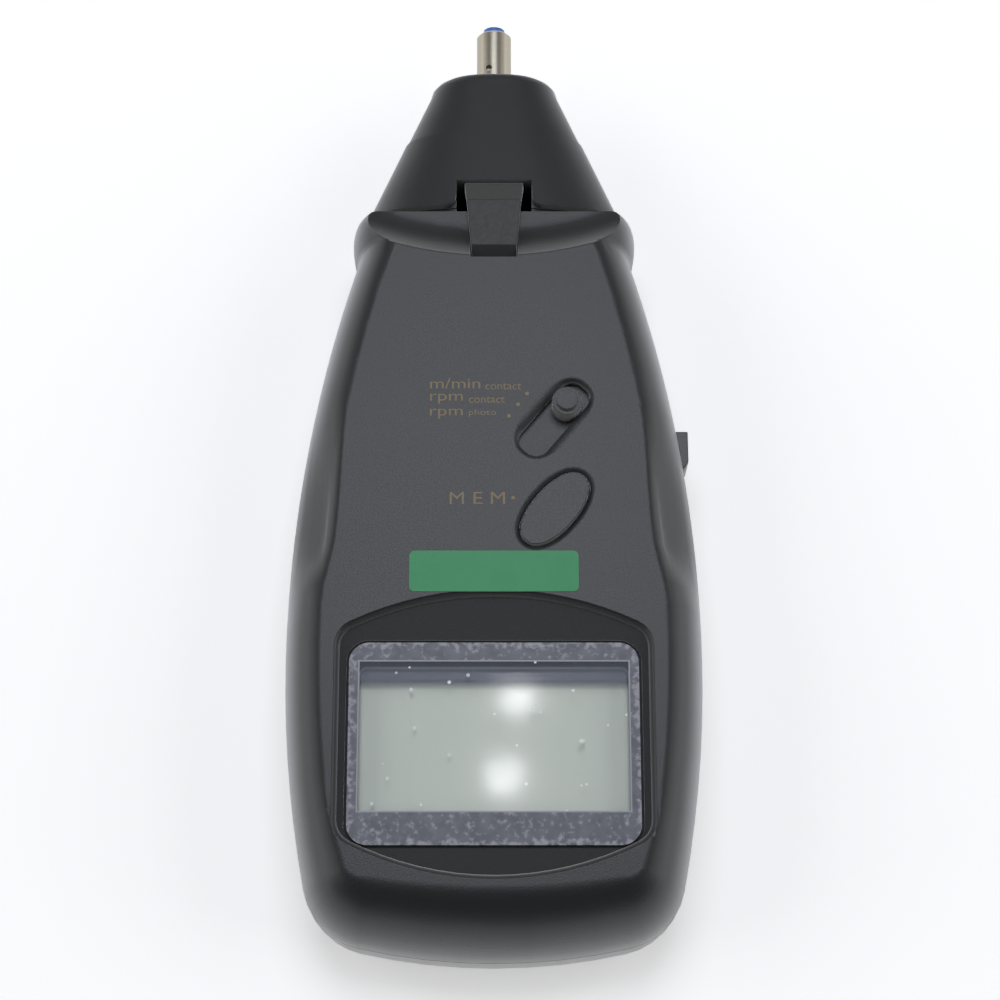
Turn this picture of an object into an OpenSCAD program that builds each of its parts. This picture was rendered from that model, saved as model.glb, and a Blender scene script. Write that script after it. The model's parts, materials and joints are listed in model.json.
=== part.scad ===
// Hand-held laser tachometer with a push-on contact adapter.
// X runs across the instrument, Y along it towards the shaft, Z up from its back.
// Lengths along Y are measured from the bottom end; place() then centres the whole length.

/* [Housing] */
// Length of the housing, bottom end to collar end
body_l = 139.6; // [136:0.2:146]
// Greatest width of the housing
body_w = 76; // [74:0.5:82]
// Thickness of the housing, back to face
body_t = 30; // [29.6:0.2:33]
// Height of the parting line above the back
seam_z = 15; // [14.4:0.1:15.6]
// Wall of the housing
wall = 2; // [1.6:0.1:2.2]
// Distance of the widest place from the bottom end
widest_y = 54; // [50:1:58]
// Width of the housing behind the collar's ears
collar_w = 49.2; // [48:0.2:52]
// Radius of the long sides below the widest place
side_r_low = 208; // [180:2:260]
// Radius of the bottom end
end_r = 110; // [96:2:140]
// Radius of the bottom corners
corner_r = 13; // [12:0.5:15]
// How far the front shoulder rolls in from the side to the face
shoulder_in = 7.6; // [7:0.1:8.2]
// How much further it rolls in at the bottom end
end_roll = 4.2; // [2.6:0.1:4.6]
// How far the back edge rolls in from the side
back_in = 6; // [5:0.1:6.6]
// Depth of the thumb scoops in the shoulders
scoop_depth = 2.8; // [1.5:0.1:3.2]
// Distance of the deepest place of the scoops from the bottom end
scoop_y = 76; // [72:1:80]

/* [Collar] */
// Radius of the collar's ears in plan
ear_r = 10; // [9.4:0.1:11]
// How far the ears stand out from the line of the sides
ear_proud = 2.5; // [2:0.1:3]
// Length of the lowered ledge, measured on the centre line
ledge_l = 10.8; // [10:0.1:11.4]
// Drop from the face to the ledge
ledge_drop = 3.6; // [3:0.1:4]
// Radius in plan of the curved edge between face and ledge
smile_r = 67; // [55:1:90]
// Width of the socket in the collar
socket_w = 43; // [40:0.5:44]
// Height of the socket
socket_h = 20; // [18.6:0.2:20.4]
// Depth of the socket
socket_l = 13.6; // [12.6:0.2:15]

/* [Display] */
// Width of the clear window
window_w = 51.4; // [48:0.2:53]
// Height of the clear window
window_h = 36.2; // [34:0.2:38]
// Thickness of the clear window
window_t = 1.5; // [1.2:0.1:1.8]
// Distance of the window's middle from the bottom end
window_y = 36.7; // [36:0.1:39]
// Corner radius of the window
window_r = 3.6; // [2:0.1:4]
// Depth of the recess round the window
recess_d = 1.6; // [1.2:0.1:1.8]
// Width of the recess
recess_w = 57; // [56:0.5:60]
// Radius of the brow above the window
brow_r = 59; // [52:1:70]
// Width of the opening under the window
aperture_w = 48; // [44:0.5:48.6]
// Height of the opening under the window
aperture_h = 28; // [25:0.5:31]

/* [Controls] */
// Length of the oblong openings for the mode knob and the memory button
oblong_l = 18.8; // [18:0.2:19.6]
// Width of those openings
oblong_w = 10.8; // [10:0.2:11.2]
// Angle of the openings to the width of the instrument
oblong_tilt = 50; // [45:1:55]
// Distance of both openings from the centre line
control_x = 11; // [10:0.2:12]
// Distance of the mode opening from the bottom end
mode_y = 96.8; // [96:0.2:99]
// Distance of the memory opening from the bottom end
memory_y = 79.4; // [78.6:0.2:80.4]
// Step between two positions of the mode knob
mode_step = 2.7; // [2.2:0.1:2.8]
// Diameter of the mode knob's lower tier
knob_d = 5.4; // [4.6:0.1:5.8]
// Height of the mode knob above the face
knob_h = 2.2; // [1.2:0.1:2.6]
// Travel of the memory button
memory_travel = 0.8; // [0.5:0.1:0.8]
// Travel of the measure button
measure_travel = 0.8; // [0.5:0.1:0.8]
// Distance of the measure button from the bottom end
measure_y = 94.4; // [93.6:0.2:96]
// Size of the measure button along the side
measure_l = 7.2; // [6.6:0.2:8]
// How far the measure button stands out of the side
measure_proud = 1.4; // [1:0.1:1.8]

/* [Power] */
// Diameter of a cell
cell_d = 14.2; // [13.8:0.1:14.4]
// Length of a cell with its button
cell_l = 50.5; // [49.5:0.1:50.8]
// Space for a spring contact at a cell's flat end
spring_l = 4.5; // [3.8:0.1:4.8]
// Thickness of the main circuit board
board_t = 1.6; // [1.2:0.1:1.6]

/* [Adapter] */
// Length of the adapter base outside the collar
base_l = 16.2; // [15.8:0.1:18]
// Length of the adapter nose
nose_l = 13.7; // [13.4:0.1:16]
// Width of the adapter at the collar
base_w = 49.2; // [47.5:0.2:51]
// Height of the adapter at the collar
base_h = 23.6; // [23:0.1:24.2]
// Width of the adapter where the nose begins
waist_w = 35; // [33.6:0.2:36]
// Height of the adapter where the nose begins
waist_h = 19; // [18.4:0.1:20]
// Width of the nose at its end
tip_w = 25; // [24:0.2:26]
// Height of the nose at its end
tip_h = 15.6; // [15.2:0.1:16.4]
// Gap between collar and adapter
collar_gap = 1.5; // [1:0.1:1.8]
// Length of the spigot in the socket
spigot_l = 9.6; // [8.6:0.1:10]
// Width of the clip at its root
clip_root_w = 11.2; // [10:0.2:12]
// Width of the clip at its end
clip_end_w = 8; // [7.4:0.2:9]
// Thickness of the clip
clip_t = 1.4; // [1.2:0.1:1.5]

/* [Shaft] */
// Diameter of the shaft outside the nose
shaft_d = 6.8; // [6:0.1:7]
// Length of the shaft outside the nose
shaft_out = 11.8; // [11:0.1:14]
// How far the plug stands out of the shaft's end
plug_out = 1.2; // [0.6:0.1:1.4]
// Diameter of the shaft in its bearings
journal_d = 5; // [4.6:0.1:5.2]
// Outer diameter of the bearings
bearing_d = 11; // [10:0.2:11.4]
// Width of the bearings
bearing_w = 4; // [3:0.1:4.2]
// Diameter of the encoder disc
disc_d = 14; // [12:0.2:14.4]

/* [Fits] */
// Gap round a moving button, plate or spigot
slip = 0.3; // [0.2:0.05:0.35]
// Radial running gap between shaft and bearing
run_gap = 0.05; // [0.03:0.01:0.08]
// Radial gap of a piece held in its seat
seat_gap = 0.02; // [0.01:0.01:0.03]

/* [Hidden] */
$fn = 48;

// Finish colours
charcoal = [0.17, 0.17, 0.18];
soft_black = [0.11, 0.11, 0.12];
clip_grey = [0.21, 0.2, 0.19];
board_green = [0.1, 0.32, 0.2];
glass_tint = [0.62, 0.66, 0.6, 0.5];
steel = [0.68, 0.66, 0.62];
gold = [0.75, 0.62, 0.3];
label_green = [0.2, 0.5, 0.3];
plug_blue = [0.15, 0.35, 0.75];
cell_grey = [0.55, 0.56, 0.58];

// Places along the instrument
overall_l = body_l + collar_gap + base_l + nose_l + shaft_out + plug_out;
base_y = body_l + collar_gap;
waist_y = base_y + base_l;
nose_y = waist_y + nose_l;
tip_y = nose_y + shaft_out;
axis_z = seam_z;
eps = 0.01;
far = 60;

// The housing's plan: four arcs on each side, from the bottom end to the collar
ear_back = 3.2;
ear_y = body_l - ear_back;
taper_l = ear_y - widest_y;
taper_in = (body_w - collar_w) / 2;
side_r_top = (pow(taper_l, 2) + pow(taper_in, 2)) / (2 * taper_in);
low_centre = [body_w / 2 - side_r_low, widest_y];
top_centre = [body_w / 2 - side_r_top, widest_y];
end_centre = [0, end_r];
ear_centre = [collar_w / 2 + ear_proud - ear_r, ear_y];
collar_round = 2;
seam_groove = 0.3;

function half_w(y) = top_centre[0] + sqrt(pow(side_r_top, 2) - pow(y - widest_y, 2));
function turn(r, a) = r * [cos(a), sin(a)];
function angle_of(v) = atan2(v[1], v[0]);

// Where two circles cross, on the left of the line from the first centre to the second
function crossing(c1, r1, c2, r2) =
    let (v = c2 - c1, d = norm(v), a = (r1 * r1 - r2 * r2 + d * d) / (2 * d))
    c1 + a * v / d + sqrt(r1 * r1 - a * a) * [-v[1], v[0]] / d;

corner_centre = crossing(end_centre, end_r - corner_r, low_centre, side_r_low - corner_r);
end_angle = angle_of(corner_centre - end_centre);
side_angle = angle_of(corner_centre - low_centre);

// The thumb scoops: full depth at scoop_y, a short close below it and a long fade above it
scoop_up = 25;
scoop_down = 12.5;
scoop_start = 25;
scoop_span = 75;
face_pull = 0.5;
function fade(u) = abs(u) < 1 ? pow(1 - u * u, 2) : 0;
function scoop_at(y) = fade((y - scoop_y) / (y > scoop_y ? scoop_up : scoop_down));
function scoop_push(y, t) =
    scoop_depth * scoop_at(y) * sin(180 * max(0, t - scoop_start) / scoop_span);

// The roll of an edge: t is 0 at the parting line and 90 at the flat face or back.
// Each returns how far a point moves in, and how far down, at roll angle t and length y.
// The outside rolls further in at the bottom end than the inside does.
end_fade = 30;
function shoulder_at(y, inside) =
    shoulder_in + (inside ? 0 : end_roll * pow(max(0, 1 - y / end_fade), 2));
function roll_normal(t, roll, rise) =
    let (v = [cos(t) / roll, sin(t) / rise]) v / norm(v);
function front_in(y, t, inside) = t == 90
    ? shoulder_at(y, inside) + face_pull * scoop_depth * scoop_at(y)
    : shoulder_at(y, inside) * (1 - cos(t))
        + scoop_push(y, t) * roll_normal(t, shoulder_in, body_t - seam_z)[0];
function front_z(y, t) = seam_z + (body_t - seam_z) * sin(t)
    - (t == 90 ? 0 : scoop_push(y, t) * roll_normal(t, shoulder_in, body_t - seam_z)[1]);
back_square = 2;
function back_in_at(t) = back_in * pow(1 - cos(t), back_square);
function back_z(t) = seam_z * (1 - sin(t));

// One ring of the housing, as half an outline from the bottom end to the far end.
// extra moves the ring further in; the ear closes an outer ring at the collar.
function edge_in(y, t, front, extra) =
    extra + (front ? front_in(y, t, extra > seam_groove) : back_in_at(t));
function edge_z(y, t, front) = front ? front_z(y, t) : back_z(t);
function arc_part(c, r, a0, a1, n, t, front, extra) = [
    for (i = [1:n])
        let (
            a = a0 + (a1 - a0) * i / n,
            y = c[1] + r * sin(a),
            p = c + turn(r - edge_in(y, t, front, extra), a)
        )
        [p[0], p[1], edge_z(y, t, front)]
];
function plain_in(t, front, extra) = edge_in(body_l, t, front, extra);
function top_end(t, front, extra, y_end) =
    let (y_open = asin((y_end - widest_y) / (side_r_top - plain_in(t, front, extra)))) y_open;
function ear_part(t, front, n) =
    let (
        d = plain_in(t, front, 0),
        r = ear_r - d,
        notch = crossing(ear_centre, r, top_centre, side_r_top - d),
        a0 = angle_of(notch - ear_centre),
        a1 = asin((ear_back - collar_round) / r),
        shoulder = ear_centre + turn(r, a1) - [collar_round, 0],
        z = edge_z(0, t, front)
    )
    concat(
        [for (i = [1:n]) let (p = ear_centre + turn(r, a0 + (a1 - a0) * i / n)) [p[0], p[1], z]],
        [for (i = [1:3]) let (p = shoulder + turn(collar_round, 30 * i)) [p[0], p[1], z]]
    );
function half_ring(t, front, extra, y_end, steps) =
    let (
        d = plain_in(t, front, extra),
        eared = extra <= seam_groove,
        notch = crossing(ear_centre, ear_r - d, top_centre, side_r_top - d),
        a_end = eared ? angle_of(notch - top_centre) : top_end(t, front, extra, y_end)
    )
    concat(
        [[0, edge_in(0, t, front, extra), edge_z(0, t, front)]],
        arc_part(end_centre, end_r, -90, end_angle, 4, t, front, extra),
        arc_part(corner_centre, corner_r, end_angle, side_angle, 6, t, front, extra),
        arc_part(low_centre, side_r_low, side_angle, 0, steps, t, front, extra),
        arc_part(top_centre, side_r_top, 0, a_end, 3 * steps, t, front, extra),
        eared ? ear_part(t, front, 5) : []
    );
function ring(t, front, extra, y_end, steps, drop) =
    let (
        half = half_ring(t, front, extra, y_end, steps),
        n = len(half)
    )
    concat(
        [for (p = half) [p[0], p[1], p[2] + drop]],
        [for (i = [n - 1:-1:1]) [-half[i][0], half[i][1], half[i][2] + drop]]
    );

// A closed solid through rings that rise in Z
module skin(rings) {
    n = len(rings[0]);
    m = len(rings);
    polyhedron(
        points = [for (r = rings) each r],
        faces = concat(
            [[for (i = [0:n - 1]) i]],
            [[for (i = [n - 1:-1:0]) (m - 1) * n + i]],
            [for (k = [0:m - 2], i = [0:n - 1]) let (j = (i + 1) % n)
                [k * n + i, (k + 1) * n + i, (k + 1) * n + j]],
            [for (k = [0:m - 2], i = [0:n - 1]) let (j = (i + 1) % n)
                [k * n + i, (k + 1) * n + j, k * n + j]]
        )
    );
}

front_rolls = [10, 20, 32, 44, 55, 65, 74, 82, 90];
back_rolls = [90, 78, 66, 52, 36, 18, 0];
inner_rolls = [0, 30, 55, 74, 90];
cavity_end = body_l - socket_l;

// Each loft overshoots its flat faces a little and is cut back to them, so that a flat is one face
overshoot = 0.02;
function flat_lift(t) = t == 90 ? overshoot : 0;
module between_levels(z0, z1) {
    intersection() {
        children();
        translate([-far, -far, z0]) cube([2 * far, 4 * far, z1 - z0]);
    }
}

module front_outer() {
    groove_foot = 0.1;
    groove_top = 0.4;
    between_levels(seam_z, body_t) skin(concat(
        [for (z = [-1, groove_foot]) ring(0, true, seam_groove, body_l, 7, z)],
        [ring(0, true, 0, body_l, 7, groove_top)],
        [for (t = front_rolls) ring(t, true, 0, body_l, 7, flat_lift(t))]
    ));
}

module rear_outer() {
    between_levels(0, seam_z) skin(concat(
        [for (t = back_rolls) ring(t, false, 0, body_l, 7, -flat_lift(t))],
        [ring(0, false, 0, body_l, 7, 1)]
    ));
}

module front_inner() {
    between_levels(seam_z - 1, face_in_z) skin(concat(
        [ring(0, true, wall, cavity_end, 4, -2)],
        [for (t = inner_rolls) ring(t, true, wall, cavity_end, 4, t == 0 ? 0 : flat_lift(t) - wall)]
    ));
}

module rear_inner() {
    last = len(inner_rolls) - 1;
    between_levels(wall, seam_z + 1) skin(concat(
        [for (i = [last:-1:0]) let (t = inner_rolls[i])
            ring(t, false, wall, cavity_end, 4, t == 0 ? 0 : wall - flat_lift(t))],
        [ring(0, false, wall, cavity_end, 4, 2)]
    ));
}

// Plain shapes that several pieces share
module place() {
    translate([0, -overall_l / 2, 0]) children();
}

module rounded(w, h, r) {
    offset(r) square([w - 2 * r, h - 2 * r], center = true);
}

module slab(w, h, t, r) {
    linear_extrude(t) rounded(w, h, r);
}

module along_y(l) {
    rotate([-90, 0, 0]) linear_extrude(l) children();
}

module rod_y(d, y0, y1) {
    translate([0, y0, 0]) rotate([-90, 0, 0]) cylinder(d = d, h = y1 - y0);
}

function oval_points(w, h, power, n) = [
    for (i = [0:n - 1])
        let (a = 360 * i / n, c = cos(a), s = sin(a))
        [w / 2 * sign(c) * pow(abs(c), 2 / power), h / 2 * sign(s) * pow(abs(s), 2 / power)]
];

module oval(w, h) {
    polygon(oval_points(w, h, 2.6, 48));
}

module oblong(l, w) {
    polygon(oval_points(l, w, 2.15, 48));
}

module at_control(y, z) {
    translate([control_x, y, z]) rotate(oblong_tilt) children();
}

// Screws: places of the case screws and of the board screws
high_boss = body_t - wall + 0.2;
low_boss = body_t - wall - 3.2;
case_screw_at = [
    [-22, body_l - 20.6, high_boss], [22, body_l - 20.6, high_boss],
    [-29.4, 80.6, low_boss], [29.4, 80.6, low_boss]
];
optics_l = 15;
board_y1 = cavity_end - optics_l;
board_screw_at = [[-19.5, board_y1 - 5], [20, 89], [-23, 75.4], [23, 75.4]];
screw_d = 2.6;
screw_head_d = 5;
screw_head_t = 1.8;
boss_d = 6;
small_screw_d = 2;
small_head_d = 3.8;
small_head_t = 1.3;
post_d = 4.6;
boss_floor = 3.4;
case_bite = 7.4;
board_bite = 4;
spare_bore = 0.6;

module screw_up(at, z, l, d, head_d, head_t) {
    translate([at[0], at[1], z]) {
        difference() {
            union() {
                cylinder(d = head_d, h = head_t);
                cylinder(d = d, h = head_t + l);
            }
            for (a = [0, 90])
                rotate(a) cube([head_d * 0.6, 0.7, head_t], center = true);
        }
    }
}

// Levels inside the housing
face_in_z = body_t - wall;
cover_t = wall + 0.2;
cell_z = cover_t + 0.4 + cell_d / 2;
tray_wall = 1.3;
tray_top = cell_z + cell_d / 2 + 0.4;
board_z = tray_top + 1.8;
board_top = board_z + board_t;
window_floor = body_t - recess_d - 1.2;
frame_low = window_floor - 1.9;
lcd_t = 2.4;
lcd_z = frame_low - 0.1 - lcd_t;
plate_t = 1.4;
plate_z = face_in_z - slip - plate_t;

// Display recess: an arched brow above, a curved chin below, straight sides, rounded corners
brow_y = 64.4;
chin_y = 12.4;
chin_r = 57;
recess_round = 5;
recess_x = recess_w / 2 - recess_round;
brow_centre = [0, brow_y - brow_r];
chin_centre = [0, chin_y + chin_r];
brow_corner = brow_centre + [recess_x, sqrt(pow(brow_r - recess_round, 2) - pow(recess_x, 2))];
chin_corner = chin_centre + [recess_x, -sqrt(pow(chin_r - recess_round, 2) - pow(recess_x, 2))];
function arc_points(c, r, a0, a1, first, n) = [for (i = [first:n]) c + turn(r, a0 + (a1 - a0) * i / n)];
function recess_half(grow) =
    let (
        a_low = angle_of(chin_corner - chin_centre),
        a_high = angle_of(brow_corner - brow_centre)
    )
    concat(
        arc_points(chin_centre, chin_r + grow, -90, a_low, 0, 8),
        arc_points(chin_corner, recess_round + grow, a_low, 0, 1, 5),
        arc_points(brow_corner, recess_round + grow, 0, a_high, 0, 5),
        arc_points(brow_centre, brow_r + grow, a_high, 90, 1, 8)
    );
function recess_points(grow) =
    let (half = recess_half(grow), n = len(half))
    concat(half, [for (i = [n - 2:-1:1]) [-half[i][0], half[i][1]]]);

// Its wall as steps of [depth below the face, growth of the outline], and a groove round the window
recess_steps = [[recess_d + overshoot, -1.1], [0.9, -0.95], [0.4, -0.65], [0.12, -0.3], [-0.1, 0.15]];
groove_w = 0.5;
groove_deep = 0.6;
module recess_cut() {
    between_levels(body_t - recess_d, body_t + 1) skin([
        for (s = recess_steps) [for (p = recess_points(s[1])) [p[0], p[1], body_t - s[0]]]
    ]);
    translate([0, window_y, body_t - recess_d - groove_deep])
        slab(window_w + 2 * groove_w, window_h + 2 * groove_w, 2 * groove_deep, window_r + groove_w);
}

// Ledge behind the curved edge of the face: a dished groove swept round a distant centre
module ledge_cut() {
    smile_y = body_l - ledge_l;
    run = 8.2;
    dish_r = (run * run + ledge_drop * ledge_drop) / (2 * ledge_drop);
    low = body_t - ledge_drop;
    translate([0, smile_y + smile_r, 0]) rotate_extrude($fn = 180) {
        translate([0, low]) square([smile_r - run, far]);
        intersection() {
            translate([smile_r - run, low + dish_r]) circle(dish_r);
            translate([smile_r - run - eps, low]) square([run + 2 * eps, dish_r]);
        }
        translate([smile_r - run, body_t]) square([run, 3]);
    }
}

// Pocket in the ledge that takes the hooked end of the clip
hook_drop = 0.4;
pocket_w = clip_end_w + 1;
pocket_y = body_l - ledge_l - 0.1;
ledge_z = body_t - ledge_drop;
ramp_y = pocket_y + 6.4;
module clip_pocket() {
    flat = 3.6;
    translate([pocket_w / 2, 0, 0]) rotate([0, -90, 0]) linear_extrude(pocket_w) polygon([
        [ledge_z - hook_drop, pocket_y], [ledge_z - hook_drop, pocket_y + flat],
        [ledge_z, ramp_y], [body_t + 2, ramp_y], [body_t + 2, pocket_y]
    ]);
}

module socket_cut() {
    translate([0, cavity_end - 1, axis_z]) along_y(socket_l + 2) oval(socket_w, socket_h);
}

measure_h = 8;
measure_x = half_w(measure_y);
module measure_hole() {
    translate([measure_x - 8, measure_y, seam_z]) rotate([0, 90, 0])
        slab(measure_h + 2 * slip, measure_l + 2 * slip, 16, 0.8);
}

module front_housing() {
    frame_rim = 2.4;
    place() color(charcoal) difference() {
        union() {
            difference() {
                front_outer();
                front_inner();
            }
            translate([0, 0, frame_low]) linear_extrude(face_in_z + eps - frame_low)
                polygon(recess_points(frame_rim));
            for (p = case_screw_at)
                translate([p[0], p[1], seam_z]) cylinder(d = boss_d, h = p[2] - seam_z);
            for (p = board_screw_at)
                translate([p[0], p[1], board_top]) cylinder(d = post_d, h = face_in_z + 0.2 - board_top);
        }
        ledge_cut();
        clip_pocket();
        socket_cut();
        recess_cut();
        translate([0, window_y, window_floor])
            slab(window_w + 2 * seat_gap, window_h + 2 * seat_gap, 4, window_r);
        translate([0, window_y, frame_low - 1]) slab(aperture_w, aperture_h, 6, 1.5);
        at_control(mode_y, 0) dished_opening() mode_slot();
        at_control(memory_y, 0) dished_opening() oblong(memory_l + 2 * slip, memory_w + 2 * slip);
        measure_hole();
        for (p = case_screw_at)
            translate([p[0], p[1], seam_z - 1]) cylinder(d = screw_d + 2 * seat_gap, h = 1 + case_bite + spare_bore);
        for (p = board_screw_at)
            translate([p[0], p[1], board_top - 1])
                cylinder(d = small_screw_d + 2 * seat_gap, h = 1 + board_bite + spare_bore);
    }
}

// An opening through the face, with an oblong dish that slopes down to it
dish_d = 0.8;
module dished_opening() {
    lead = 0.5;
    spread = 1.6;
    foot = 0.97;
    translate([0, 0, face_in_z - 1]) linear_extrude(wall + 2) children();
    hull() {
        translate([0, 0, body_t + lead]) linear_extrude(eps) oblong(oblong_l + spread, oblong_w + spread);
        translate([0, 0, body_t - dish_d]) linear_extrude(eps) scale(foot) children();
    }
}

// Battery tray, open towards the back, closed there by the sliding cover
cell_pitch = cell_d + 0.4;
tray_w = 4 * cell_pitch + 1.6;
tray_y0 = 13.8;
contact_t = 0.5;
tray_y1 = tray_y0 + cell_l + spring_l + 2 * contact_t + 0.2;
cover_w = tray_w + 0.6;
cover_y1 = tray_y1 + 3;
tray_round = 2.5;
rail_w = 1.2;
rail_out = 0.8;
rail_top = cover_t + 1.4;
guard_y = 30;
guard_w = 3.2;
guard_top = rail_top + 1.8;

module tray_block() {
    translate([0, (tray_y0 + tray_y1) / 2, wall - eps])
        slab(tray_w + 2 * tray_wall, tray_y1 - tray_y0 + 2 * tray_wall, tray_top + 1 - wall, tray_round);
    for (s = [-1, 1])
        translate([s > 0 ? tray_w / 2 : -tray_w / 2 - guard_w, guard_y, wall - eps])
            cube([guard_w, cover_y1 + 1.5 - guard_y, guard_top - wall]);
}

// Lengthwise rails of the cover, or with a gap the grooves that they run in
module rails(gap, y0, y1) {
    for (s = [0, 1])
        mirror([s, 0, 0]) {
            translate([cover_w / 2 - rail_w - gap, y0, cover_t - 0.2])
                cube([rail_w + 2 * gap, y1 - y0, rail_top - cover_t + 0.2 + gap]);
            translate([cover_w / 2 - eps, y0, rail_top - rail_out - gap])
                cube([rail_out + gap, y1 - y0, rail_out + 2 * gap]);
        }
}

module cover_space(gap) {
    translate([-cover_w / 2 - gap, -1, -1])
        cube([cover_w + 2 * gap, cover_y1 + gap + 1, cover_t + gap + 1]);
}

module rear_housing() {
    place() color(soft_black) difference() {
        union() {
            difference() {
                rear_outer();
                rear_inner();
            }
            tray_block();
            for (p = case_screw_at)
                translate([p[0], p[1], wall - eps]) cylinder(d = boss_d + 1.4, h = boss_floor);
            for (p = case_screw_at)
                translate([p[0], p[1], wall - eps]) cylinder(d = boss_d, h = seam_z - wall + eps);
        }
        translate([-tray_w / 2, tray_y0, -1]) cube([tray_w, tray_y1 - tray_y0, tray_top + 1]);
        cover_space(0.15);
        rails(slip, -2, cover_y1);
        socket_cut();
        measure_hole();
        for (p = case_screw_at) {
            translate([p[0], p[1], -1]) cylinder(d = screw_head_d + 0.6, h = boss_floor + 1);
            translate([p[0], p[1], -1]) cylinder(d = screw_d + 0.4, h = seam_z + 2);
        }
    }
}

module battery_cover() {
    grip_n = 5;
    grip_step = 2.4;
    place() color(soft_black) difference() {
        intersection() {
            rear_outer();
            union() {
                cover_space(0);
                rails(0, 0, cover_y1 - 1);
            }
        }
        for (i = [0:grip_n - 1])
            translate([0, cover_y1 - 8 - i * grip_step, 0]) rotate([0, 90, 0])
                cylinder(d = 1.2, h = 18, center = true);
    }
}

module display_window() {
    place() color(glass_tint) translate([0, window_y, window_floor])
        slab(window_w, window_h, window_t, window_r);
}

lcd_w = aperture_w + 5;
lcd_h = aperture_h + 6;
module lcd_panel() {
    step = 2.2;
    place() color([0.62, 0.66, 0.6]) translate([0, window_y, lcd_z]) {
        translate([-lcd_w / 2, -lcd_h / 2, 0]) cube([lcd_w, lcd_h, lcd_t / 2]);
        translate([-lcd_w / 2, -lcd_h / 2 + step, lcd_t / 2]) cube([lcd_w, lcd_h - step, lcd_t / 2]);
    }
}

strip_w = 2;
strip_y = lcd_h / 2 - 1.6;
module lcd_holder() {
    place() color([0.85, 0.85, 0.82]) translate([0, window_y, board_top]) difference() {
        translate([-lcd_w / 2, -lcd_h / 2, 0]) cube([lcd_w, lcd_h, lcd_z - board_top]);
        translate([0, 0, -1]) slab(lcd_w - 8, lcd_h - 9, far, 1);
        for (s = [-1, 1])
            translate([0, s * strip_y, lcd_z / 2]) cube([lcd_w - 6, strip_w + 0.2, far], center = true);
    }
}

module contact_strips() {
    place() color([0.8, 0.35, 0.3]) for (s = [-1, 1])
        translate([-(lcd_w - 6.2) / 2, window_y + s * strip_y - strip_w / 2, board_top])
            cube([lcd_w - 6.2, strip_w, lcd_z - board_top]);
}

board_low_w = 59;
board_up_w = 50;
board_y0 = 14;
board_step_y = 71;
module main_board() {
    place() color(board_green) translate([0, 0, board_z]) difference() {
        linear_extrude(board_t) union() {
            translate([0, (board_y0 + board_step_y) / 2]) rounded(board_low_w, board_step_y - board_y0, 2);
            translate([0, (board_step_y + board_y1) / 2 - 3])
                rounded(board_up_w, board_y1 - board_step_y + 6, 2);
        }
        for (p = board_screw_at)
            translate([p[0], p[1], -1]) cylinder(d = small_screw_d + 0.3, h = 4);
    }
}

module controller_chip() {
    chip_w = 11;
    chip_t = 2;
    stand = 0.2;
    pins = 8;
    pitch = 1.27;
    pin = [1.6, 0.5, 0.6];
    place() color([0.13, 0.13, 0.14]) translate([2 - control_x, mode_y - 4.8, board_top]) {
        translate([0, 0, stand]) slab(chip_w, chip_w, chip_t, 0.4);
        for (s = [-1, 1], i = [0:pins - 1])
            translate([s * (chip_w + 1) / 2, (i - (pins - 1) / 2) * pitch, pin[2] / 2]) cube(pin, center = true);
    }
}

// Mode switch: a case on the board, a lever in it, and the knob on its sliding plate
mode_run = 2 * mode_step;
knob_at = 3.6;
lever_w = 2;
lever_r = 0.3;
switch_l = 14;
switch_w = 6.6;
switch_h = 3;
switch_floor = 1;
slot_l = oblong_l - 2.2;
slot_w = knob_d + 2 * slip;
end_flat = 0.8;
module mode_slot() {
    rounded(slot_l, slot_w, (slot_w - end_flat) / 2);
}

module mode_switch() {
    place() color([0.7, 0.7, 0.72]) at_control(mode_y, board_top) difference() {
        slab(switch_l, switch_w, switch_h, 0.5);
        translate([knob_at - mode_run / 2, 0, switch_floor])
            slab(mode_run + lever_w + 2 * slip, lever_w + 2 * slip, switch_h, lever_r);
    }
}

module mode_lever() {
    foot = switch_floor + slip;
    place() color(soft_black) at_control(mode_y, board_top + foot) translate([knob_at, 0, 0])
        slab(lever_w, lever_w, plate_z - board_top - foot, lever_r);
}

module mode_knob() {
    overlap = 1.2;
    plate_l = slot_l + mode_run + 2 * overlap;
    plate_w = slot_w + 2 * overlap;
    tier = 0.8;
    cap_d = 0.7 * knob_d;
    place() color([0.2, 0.2, 0.21]) at_control(mode_y, plate_z) {
        translate([mode_run / 2, 0, 0]) slab(plate_l, plate_w, plate_t, (plate_w - end_flat) / 2);
        translate([knob_at, 0, 0]) {
            cylinder(d = knob_d, h = body_t + knob_h - tier - plate_z);
            cylinder(d = cap_d, h = body_t + knob_h - plate_z);
        }
    }
}

// Memory button: an oblong cap with a flange under the face and a foot over its switch
memory_l = oblong_l - 2.6;
memory_w = oblong_w - 2.8;
memory_proud = 0.2;
tact_h = 3.6;
plunger_h = plate_z - board_top - tact_h - memory_travel - 0.2;
module memory_button() {
    flange = 0.8;
    place() color([0.2, 0.2, 0.21]) at_control(memory_y, plate_z) {
        linear_extrude(plate_t) oblong(memory_l + 2 * flange, memory_w + 2 * flange);
        linear_extrude(body_t + memory_proud - plate_z) oblong(memory_l, memory_w);
    }
}

module memory_switch() {
    place() color([0.25, 0.25, 0.26]) at_control(memory_y, board_top) {
        slab(6, 6, tact_h, 0.3);
        cylinder(d = 3.4, h = tact_h + plunger_h);
    }
}

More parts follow.
